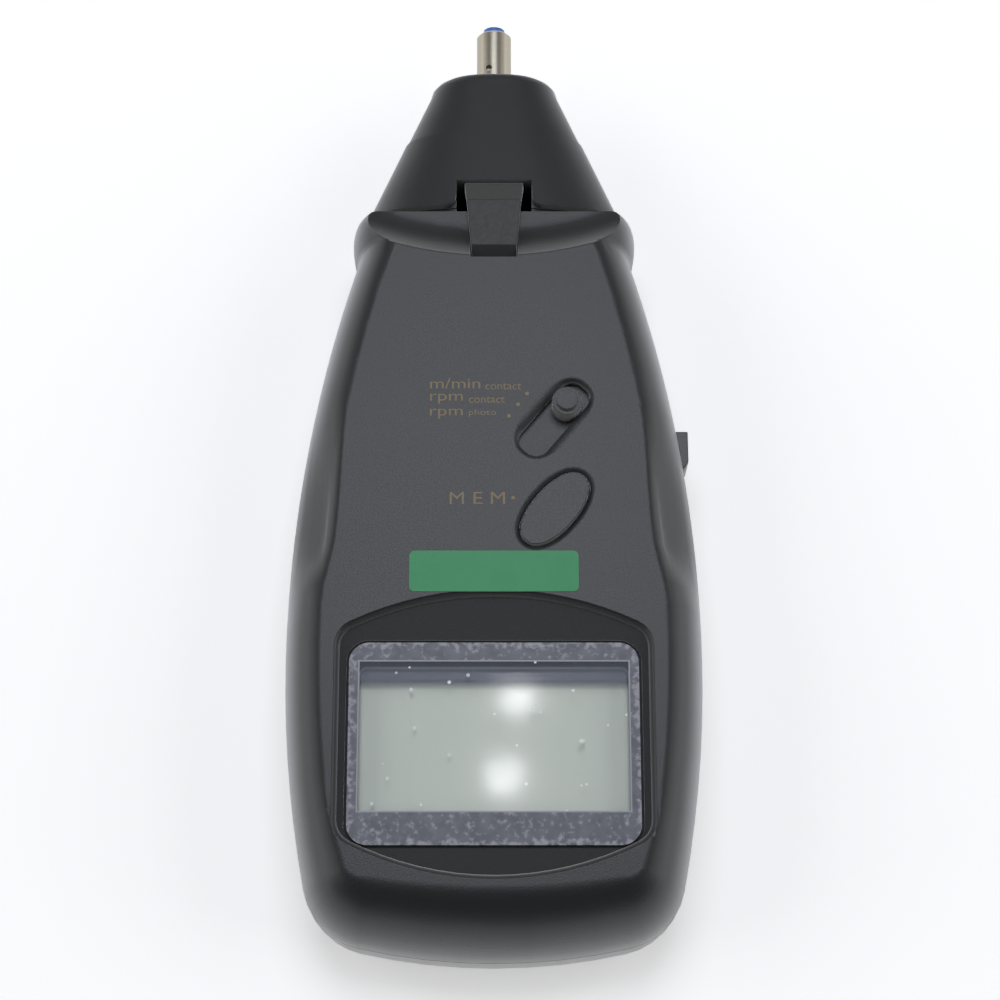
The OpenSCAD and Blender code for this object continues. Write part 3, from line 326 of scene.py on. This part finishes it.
def display_glass():
    material, here = finish("display glass")
    along = here.parts()[1]
    drift = here.noise(scale=40)
    # The top of the display is painted dark blue-grey: partly the display's own dark edge, partly
    # painted shadow of the window's print above it.
    painted_top_shadow = (along - (WINDOW_HIGH.y - PRINT_TOP - EDGE_BAND)) * (1 / EDGE_FADE)
    ground = drift.mix(tone(213, 221, 206), tone(219, 226, 213))
    surface(here, {
        "Base Color": painted_top_shadow.mix(ground, tone(70, 76, 90)),
        "Roughness": here.vary(base=0.05, spread=0.04, scale=300),
        "Specular IOR Level": 0.25,
    })
    return material


def red_window():
    material, here = finish("tinted optics window")
    surface(here, {
        "Base Color": here.noise(DRIFT).mix(tone(120, 22, 26), tone(138, 30, 32)),
        "Roughness": here.vary(base=0.1, spread=0.1, scale=400),
        "Alpha": 0.72,
    })
    return material


finishes["window"] = printed_window()
finishes["lcd"] = display_glass()
finishes["red_window"] = red_window()
print("window in mm:", [round(side / MM, 1) for side in WINDOW_HIGH - WINDOW_LOW])

# %% [markdown]
# The shaft is turned, so its marks run round it: a noise that changes only along the axis gives
# them. Plated and pressed metal is brushed the same way, but more weakly. Metal shows the room, so
# its roughness matters more than its colour.

# %% Metals
ALONG_AXIS = (0.02, 1.0, 0.02)
MARK_DETAIL = 3.0
MARK_DARK, MARK_PALE = 0.84, 1.1
MARK_GLOSS = 0.2


def turned(name, colour, roughness, lines, height_mm):
    material, here = finish(name)
    along = here.node("ShaderNodeMapping", {}, {"Vector": here, "Scale": ALONG_AXIS})
    marks = along.noise(lines, MARK_DETAIL)
    surface(here, {
        "Base Color": marks.mix(scaled(colour, MARK_DARK), scaled(colour, MARK_PALE)),
        "Metallic": 1.0,
        "Roughness": roughness + MARK_GLOSS * (marks - 0.5),
        "Normal": marks.bump(height_mm),
    })
    return material


# Each has its colour, its roughness, how close its marks lie and their height in mm
finishes["shaft"] = turned("turned steel", tone(176, 169, 154), 0.34, 5200, 0.01)
finishes["plated"] = turned("plated steel", tone(196, 196, 192), 0.25, 900, 0.002)
finishes["switch_metal"] = turned("pressed steel", tone(184, 184, 182), 0.32, 1600, 0.003)
finishes["brass"] = turned("turned brass", tone(200, 164, 96), 0.3, 2600, 0.005)
print("metals: shaft, plated, switch_metal, brass")

# %% [markdown]
# Three printed goods are left: the green label, which is film that never lies quite flat, the
# lacquered board with its lighter copper under the lacquer, and the sleeves of the cells. Each is a
# colour that follows one simple pattern.

# %% Label, board and cells
TRACK_CELLS = 260
TRACK_W = 0.08
BAND_START = 0.72


def label_film():
    material, here = finish("label film")
    surface(here, {
        "Base Color": here.noise(scale=120).mix(tone(60, 148, 96), tone(72, 160, 108)),
        "Roughness": here.vary(base=0.5, spread=0.1, scale=700),
        "Normal": here.noise(scale=240).bump(height_mm=0.02),
    })
    return material


def lacquered_board():
    material, here = finish("lacquered board")
    cells = {"Vector": here, "Scale": TRACK_CELLS}
    copper = here.node("ShaderNodeTexVoronoi", {"feature": "DISTANCE_TO_EDGE"}, cells) < TRACK_W
    surface(here, {
        "Base Color": copper.mix(tone(24, 98, 62), tone(58, 138, 92)),
        "Roughness": here.vary(base=0.3, spread=0.1, scale=800),
        "Normal": copper.bump(height_mm=0.02),
    })
    return material


def cell_sleeve():
    material, here = finish("cell sleeve")
    along = here.parts()[1]
    cells_low, cells_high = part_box("battery_cells")
    band = along > cells_low[1] + BAND_START * (cells_high[1] - cells_low[1])
    surface(here, {
        "Base Color": band.mix(tone(64, 66, 70), tone(176, 150, 96)),
        "Metallic": here.vary(base=0.5, spread=0.3, scale=90),
        "Roughness": here.vary(base=0.3, spread=0.1, scale=500),
    })
    return material


finishes["label"] = label_film()
finishes["board"] = lacquered_board()
finishes["cell"] = cell_sleeve()
missing = sorted(set(SLOT_OF.values()) - set(finishes))
print("finishes:", len(finishes), "slots without one:", missing)

# %% [markdown]
# The frame's meshes are loose triangles, so a lofted moulding would show every facet. A welded copy
# shades smoothly: its vertices are merged, and only edges that fold by more than the crease angle
# stay sharp. Small mouldings get those edges rounded with a real bevel, as their moulds have them.
# A large lofted one keeps its edges. A Weighted Normal modifier then holds every flat flat.

# %% Welded mouldings with soft edges
WELD = 0.002 * MM
CREASE = radians(30)
LOFT_CREASE = radians(50)
BEND = radians(10)
FLAT = radians(0.2)
FLATS_WIN = 90
FLAT_AREA = 10 * MM * MM
EDGE_ROUNDS_MM = {
    "adapter_clip": 0.22,
    "mode_knob": 0.16,
    "memory_button": 0.2,
    "measure_button": 0.25,
    "display_window": 0.12,
}
FOLDS = {"adapter_clip": BEND}
LOFTED = ["front_housing", "rear_housing", "battery_cover", "adapter_base", "adapter_nose"]


def welded(node):
    """A bmesh of a CAD node with its triangles joined and its flats made whole."""
    made = bmesh.new()
    made.from_mesh(NODES[node].data)
    bmesh.ops.remove_doubles(made, verts=made.verts, dist=WELD)
    bmesh.ops.dissolve_limit(made, angle_limit=FLAT, verts=made.verts, edges=made.edges)
    return made


def creases(made, fold):
    return [edge for edge in made.edges if edge.is_manifold and edge.calc_face_angle() > fold]


def piece(name, made, fold, body, slot):
    """Turns a bmesh into an object of the part that rides on a body and takes a slot's finish."""
    for face in made.faces:
        face.smooth = True
    for edge in creases(made, fold):
        edge.smooth = False
    mesh = bpy.data.meshes.new(name)
    made.to_mesh(mesh)
    made.free()
    mesh.materials.append(finishes[slot])
    thing = bpy.data.objects.new(name, mesh)
    bpy.context.scene.collection.objects.link(thing)
    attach(thing, body)
    slot in SLOT_OF.values()
    return thing


def moulding(node):
    """A welded copy that stands for its CAD node."""
    made = welded(node)
    fold = LOFT_CREASE if node in LOFTED else FOLDS.get(node, CREASE)
    if node in EDGE_ROUNDS_MM:
        bmesh.ops.bevel(
            made, geom=creases(made, fold), offset=EDGE_ROUNDS_MM[node] * MM, offset_type="OFFSET",
            segments=2, profile=0.5, affect="EDGES", material=-1, clamp_overlap=True,
        )
    thing = piece(node + "_moulding", made, fold, BODY_OF[node], SLOT_OF[node])
    even = thing.modifiers.new("even shading", "WEIGHTED_NORMAL")
    even.keep_sharp = True
    even.weight = FLATS_WIN
    even.thresh = FLAT_AREA
    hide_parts(node)
    return thing


mouldings = [moulding(node) for node in [*LOFTED, *EDGE_ROUNDS_MM]]
for thing in mouldings:
    print(thing.name, len(thing.data.polygons), "faces")

# %% [markdown]
# Every other piece is shown as the frame has it. Its shape is right, so it only takes the finish
# that the record names for it.

# %% Finishes on the frame's own pieces
for node, thing in NODES.items():
    thing.data.materials.clear()
    thing.data.materials.append(finishes[SLOT_OF[node]])
print("finished nodes:", len(NODES))

# %% [markdown]
# The legends beside the knob and the button are printed in gold-brown ink. Each is a text curve made
# into a mesh, sized by its width and its height, and laid on the face. The ink is a few hundredths
# of a millimetre thick, so it is a closed solid too.

# %% Printed legends
INK = 0.03 * MM
INK_WELD = INK / 30
DOT_R = 0.36 * MM
DOT_SIDES = 20
CURVE_STEPS = 3
# Words, left end, base line, width and height in mm, from the middle of the bottom end
LEGENDS = [
    ("m/min", -11.7, 102.4, 9.2, 2.1), ("contact", -1.6, 102.2, 6.6, 1.25),
    ("rpm", -11.7, 99.4, 6.0, 2.0), ("contact", -4.6, 99.6, 6.6, 1.25),
    ("rpm", -11.7, 96.5, 6.0, 2.0), ("photo", -4.6, 96.9, 5.0, 1.5),
    ("M E M", -8.0, 80.2, 10.0, 2.3),
]
DOTS = [(6.06, 101.45), (4.4, 99.35), (2.74, 97.1), (3.44, 81.4)]


def ink_finish():
    material, here = finish("gold ink")
    surface(here, {
        "Base Color": here.noise(scale=900).mix(tone(122, 106, 78), tone(144, 125, 94)),
        "Roughness": here.vary(base=0.45, spread=0.1, scale=1500),
    })
    return material


def word_mesh(words):
    """A flat word as a mesh with a little thickness."""
    curve = bpy.data.curves.new(words, "FONT")
    curve.body = words
    curve.extrude = 0.5
    curve.resolution_u = CURVE_STEPS
    thing = bpy.data.objects.new(words, curve)
    bpy.context.scene.collection.objects.link(thing)
    bpy.context.view_layer.update()
    shown = thing.evaluated_get(bpy.context.evaluated_depsgraph_get())
    mesh = bpy.data.meshes.new_from_object(shown)
    bpy.data.objects.remove(thing)
    return mesh


def legends():
    made = bmesh.new()
    for words, left, base, width, height in LEGENDS:
        mesh = word_mesh(words)
        corners = [vertex.co for vertex in mesh.vertices]
        start = Vector(min(corner[k] for corner in corners) for k in range(3))
        size = Vector(max(corner[k] for corner in corners) for k in range(3)) - start
        scale = Matrix.Diagonal((width * MM / size.x, height * MM / size.y, INK / size.z, 1.0))
        place = Matrix.Translation((left * MM, LOW.y + base * MM, FACE_Z))
        mesh.transform(place @ scale @ Matrix.Translation(-start))
        made.from_mesh(mesh)
    for x, y in DOTS:
        place = Matrix.Translation((x * MM, LOW.y + y * MM, FACE_Z + INK / 2))
        bmesh.ops.create_cone(
            made, cap_ends=True, segments=DOT_SIDES, radius1=DOT_R, radius2=DOT_R, depth=INK,
            matrix=place,
        )
    bmesh.ops.remove_doubles(made, verts=made.verts, dist=INK_WELD)
    return piece("printed_legends", made, CREASE, "housing", "ink")


finishes["ink"] = ink_finish()
print("legends:", len(legends().data.polygons), "faces")

# %% [markdown]
# The instrument lies on its back on a pale floor, whose far rim sweeps up so that a low view ends in
# white too. One broad lamp stands where the face mirrors it to the camera, which gives the flat face
# its sheen. Two larger panels, left and right, show in the slopes. Two small lamps stand where the
# display mirrors them, because a glint tells the eye that it is glass. The world is dim, so that the
# rounded ends, which mirror it, turn black.

# %% Floor, lamps and world
FLOOR_R = 2.6
FLOOR_GAP = 0.1 * MM
SWEEP_R = 0.8
SWEEP_STEPS = 8
FLOOR_SIDES = 96
GLOW_NEAR = (0.42, 0.42, 0.42, 1.0)
GLOW_FAR = (0.8, 0.8, 0.8, 1.0)
GLOW_START = 0.6
GLOW_SPAN = 1.2
BLACK = (0.0, 0.0, 0.0, 1.0)
LOOK_AT = Vector((0.0, -6.17, 15.0)) * MM
CAMERA_AT = Vector((0.0, -145.23, 442.98)) * MM
SIGHT = CAMERA_AT - LOOK_AT
MIRRORED = Vector((SIGHT.x, -SIGHT.y, SIGHT.z)).normalized()
KEY_SIZE, KEY_POWER = 0.5, 3.4
PANELS = [Vector((side * 1.5, 0.1, 0.75)) for side in (-1, 1)]
PANEL_SIZE, PANEL_POWER = 1.6, 11.0
SKY = (0.06, 0.06, 0.06, 1.0)
GLINTS_MM = [(4.2, 27.3), (1.9, 12.8)]
GLINT_SIZE, GLINT_POWER = 0.016, 0.06
COOL = (0.93, 0.98, 1.07)


def floor():
    """A round floor turned from a profile that is flat and then sweeps up."""
    made = bmesh.new()
    turns = [radians(90) * k / SWEEP_STEPS for k in range(SWEEP_STEPS + 1)]
    sweep = [(FLOOR_R + SWEEP_R * sin(turn), SWEEP_R * (1 - cos(turn))) for turn in turns]
    points = [made.verts.new((out, 0.0, LOW.z - FLOOR_GAP + up)) for out, up in [(0.0, 0.0), *sweep]]
    edges = [made.edges.new(pair) for pair in zip(points, points[1:])]
    bmesh.ops.spin(
        made, geom=[*points, *edges], cent=(0.0, 0.0, 0.0), axis=(0.0, 0.0, 1.0), angle=2 * pi,
        steps=FLOOR_SIDES, use_merge=True,
    )
    for face in made.faces:
        face.smooth = True
    mesh = bpy.data.meshes.new("floor")
    made.to_mesh(mesh)
    made.free()
    material, here = finish("pale floor")
    seen, mirrored, refracted = (
        here.node("ShaderNodeLightPath", {}, {}, ray)
        for ray in ("Is Camera Ray", "Is Glossy Ray", "Is Transmission Ray")
    )
    across, along = here.parts()[:2]
    out = here.sum("SQRT", across * across + along * along)
    glow = ((out - GLOW_START) * (1 / GLOW_SPAN)).clamped().mix(GLOW_NEAR, GLOW_FAR)
    surface(here, {
        "Base Color": here.noise(scale=3.0).mix(tone(244, 244, 244), tone(248, 248, 248)),
        "Roughness": 0.9,
        "Emission Color": (seen + mirrored + refracted).mix(BLACK, glow),
        "Emission Strength": 1.0,
    })
    material.cycles.emission_sampling = "NONE"
    mesh.materials.append(material)
    thing = bpy.data.objects.new("floor", mesh)
    bpy.context.scene.collection.objects.link(thing)
    return thing


def facing(at):
    """The turn of a lamp or a camera that stands here and faces the instrument."""
    return (LOOK_AT - at).to_track_quat("-Z", "Y").to_euler()


def lamp(name, at, size, power, colour=(1.0, 1.0, 1.0)):
    """A square soft lamp that faces the instrument."""
    light = bpy.data.lights.new(name, "AREA")
    light.size = size
    light.energy = power
    light.color = colour
    thing = bpy.data.objects.new(name, light)
    thing.location = at
    thing.rotation_euler = facing(at)
    thing.visible_camera = False
    bpy.context.scene.collection.objects.link(thing)
    return thing


def glint(x_mm, y_mm):
    """The place, a metre off, of a lamp that the display mirrors to the camera from a spot on it."""
    spot = Vector((x_mm * MM, WINDOW_LOW.y + y_mm * MM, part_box("lcd_panel")[1][2]))
    away = (CAMERA_AT - spot).normalized()
    return spot + Vector((-away.x, -away.y, away.z))


def studio_world():
    world = bpy.data.worlds.new("studio")
    world.use_nodes = True
    world.node_tree.nodes["Background"].inputs["Color"].default_value = SKY
    bpy.context.scene.world = world


floor()
lamp("key", LOOK_AT + MIRRORED, KEY_SIZE, KEY_POWER, COOL)
for place in PANELS:
    lamp("panel", place, PANEL_SIZE, PANEL_POWER)
for x_mm, y_mm in GLINTS_MM:
    lamp("glint", glint(x_mm, y_mm), GLINT_SIZE, GLINT_POWER)
studio_world()
bpy.context.scene.view_settings.view_transform = "Standard"
print("key lamp at", [round(c, 2) for c in LOOK_AT + MIRRORED])

# %% [markdown]
# The photograph looks down steeply on the face from the bottom end. The camera stands where a fit of
# the outline put it, and its lens follows from the angle that the picture takes in.

# %% Camera
FIELD = radians(23.474)
SENSOR_MM = 36.0
SHIFT_X = 0.006


def camera():
    lens = bpy.data.cameras.new("camera")
    lens.sensor_width = SENSOR_MM
    lens.lens = SENSOR_MM / 2 / tan(FIELD / 2)
    lens.shift_x = SHIFT_X
    thing = bpy.data.objects.new("camera", lens)
    thing.location = CAMERA_AT
    thing.rotation_euler = facing(CAMERA_AT)
    bpy.context.scene.collection.objects.link(thing)
    bpy.context.scene.camera = thing
    return lens


print("lens", round(camera().lens, 1), "mm")

# %% [markdown]
# Last, the view layer is brought up to date.

# %% View layer update
bpy.context.view_layer.update()
